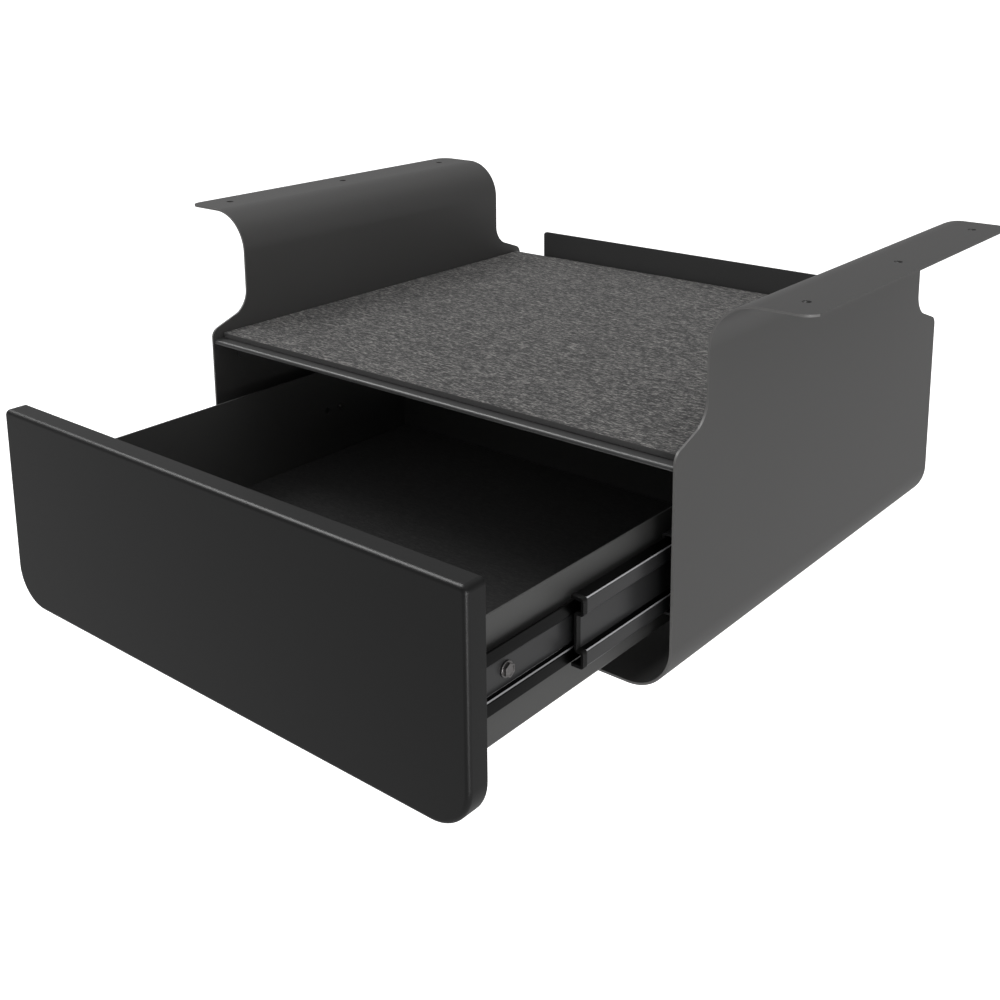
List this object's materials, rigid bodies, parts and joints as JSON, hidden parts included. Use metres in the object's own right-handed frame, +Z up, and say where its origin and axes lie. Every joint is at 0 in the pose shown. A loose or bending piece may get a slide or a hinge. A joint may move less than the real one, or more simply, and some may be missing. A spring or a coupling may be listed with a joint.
{
  "type": "under desk drawer",
  "caption": "Under-desk drawer: bent sheet side panels with screw-on flanges, felt-covered shelf, and a slim-front drawer on telescopic ball slides.",
  "frame": {"origin": "middle of the mounting plane on top of the two screw-on flanges", "axes": "+X to the right seen from the front, the drawer pulls out along -Y, +Z up towards the desk top"},
  "size_m": [0.524, 0.528, 0.23],
  "materials": {
    "panel": "charcoal powder coat, fine satin texture",
    "shelf": "charcoal powder coat, fine satin texture",
    "felt": "grey heathered pressed felt",
    "liner": "dark grey pressed felt",
    "front": "matte black lacquer on board",
    "tray": "black powder coat, satin",
    "slide": "black zinc plated steel, semi gloss",
    "cage": "black cage strip with steel balls",
    "bumper": "black moulded plastic",
    "screw": "black oxide steel"
  },
  "bodies": {
    "housing": {"left_side_panel": "panel", "right_side_panel": "panel", "left_slide_cabinet_member": "slide", "right_slide_cabinet_member": "slide", "left_cabinet_member_screw_1": "screw", "right_cabinet_member_screw_1": "screw", "left_cabinet_member_screw_2": "screw", "right_cabinet_member_screw_2": "screw", "left_cabinet_member_screw_3": "screw", "right_cabinet_member_screw_3": "screw", "left_slide_rear_stop": "bumper", "right_slide_rear_stop": "bumper", "shelf_tray": "shelf", "shelf_felt_mat": "felt"},
    "drawer": {"drawer_front": "front", "drawer_tray": "tray", "drawer_felt_liner": "liner", "left_slide_drawer_member": "slide", "right_slide_drawer_member": "slide", "left_drawer_member_screw_1": "screw", "right_drawer_member_screw_1": "screw", "left_drawer_member_screw_2": "screw", "right_drawer_member_screw_2": "screw", "drawer_front_screw_1": "screw", "drawer_front_screw_2": "screw", "drawer_front_screw_3": "screw", "drawer_front_screw_4": "screw"},
    "left_middle": {"left_slide_middle_member": "slide", "left_slide_front_bumper": "bumper"},
    "left_outer_cage": {"left_outer_ball_cage": "cage"},
    "left_inner_cage": {"left_inner_ball_cage": "cage"},
    "right_middle": {"right_slide_middle_member": "slide", "right_slide_front_bumper": "bumper"},
    "right_outer_cage": {"right_outer_ball_cage": "cage"},
    "right_inner_cage": {"right_inner_ball_cage": "cage"}
  },
  "joints": [
    {"name": "drawer_slide", "type": "slide", "parent": "housing", "child": "drawer", "axis": [0, -1, 0], "range_m": [-0.17, 0.13]},
    {"name": "left_middle_slide", "type": "slide", "parent": "housing", "child": "left_middle", "axis": [0, -1, 0], "range_m": [-0.0852, 0.0652]},
    {"name": "left_outer_cage_slide", "type": "slide", "parent": "housing", "child": "left_outer_cage", "axis": [0, -1, 0], "range_m": [-0.0427, 0.0327]},
    {"name": "left_inner_cage_slide", "type": "slide", "parent": "housing", "child": "left_inner_cage", "axis": [0, -1, 0], "range_m": [-0.1277, 0.0977]},
    {"name": "right_middle_slide", "type": "slide", "parent": "housing", "child": "right_middle", "axis": [0, -1, 0], "range_m": [-0.0852, 0.0652]},
    {"name": "right_outer_cage_slide", "type": "slide", "parent": "housing", "child": "right_outer_cage", "axis": [0, -1, 0], "range_m": [-0.0427, 0.0327]},
    {"name": "right_inner_cage_slide", "type": "slide", "parent": "housing", "child": "right_inner_cage", "axis": [0, -1, 0], "range_m": [-0.1277, 0.0977]}
  ],
  "couplings": [
    {"joint": "left_middle_slide", "follows": "drawer_slide", "ratio": 0.5},
    {"joint": "left_outer_cage_slide", "follows": "drawer_slide", "ratio": 0.25},
    {"joint": "left_inner_cage_slide", "follows": "drawer_slide", "ratio": 0.75},
    {"joint": "right_middle_slide", "follows": "drawer_slide", "ratio": 0.5},
    {"joint": "right_outer_cage_slide", "follows": "drawer_slide", "ratio": 0.25},
    {"joint": "right_inner_cage_slide", "follows": "drawer_slide", "ratio": 0.75}
  ]
}
